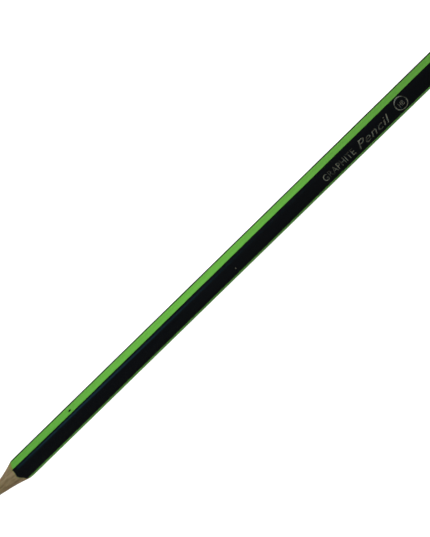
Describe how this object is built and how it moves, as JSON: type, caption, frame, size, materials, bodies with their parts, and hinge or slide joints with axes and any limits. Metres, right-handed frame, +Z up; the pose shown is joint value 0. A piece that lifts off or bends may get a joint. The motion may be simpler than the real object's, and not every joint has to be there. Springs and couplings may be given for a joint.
{
  "type": "graphite pencil",
  "caption": "Sharpened wood-cased graphite pencil with a soft-cornered hexagonal barrel, lacquered green with black stripes, for drawing and sketching.",
  "frame": {"origin": "on the green flat that the pencil rests on, below the middle of its length", "axes": "+X along the pencil from its point to its sawn end, +Z up out of the stamped black face, +Y to the left when looking from the point to the sawn end"},
  "size_m": [0.18, 0.0074, 0.007],
  "materials": {
    "graphite": "fired graphite and clay, dark grey with a soft metallic sheen where it is turned to a point",
    "wood": "bare straight-grained light wood, cut across by the sharpening",
    "glue": "dried wood glue, a thin brown line",
    "green_lacquer": "glossy leaf-green lacquer, several thin coats",
    "black_lacquer": "glossy black lacquer, several thin coats",
    "foil": "hot-stamped dull silver foil, slightly patchy"
  },
  "bodies": {
    "root": {"graphite_core": "graphite", "upper_slat": "wood", "lower_slat": "wood", "glue_film_left": "glue", "glue_film_right": "glue", "green_stripe_upper_left": "green_lacquer", "green_stripe_upper_right": "green_lacquer", "green_stripe_bottom": "green_lacquer", "black_stripe_top": "black_lacquer", "black_stripe_lower_right": "black_lacquer", "black_stripe_lower_left": "black_lacquer"}
  },
  "joints": []
}
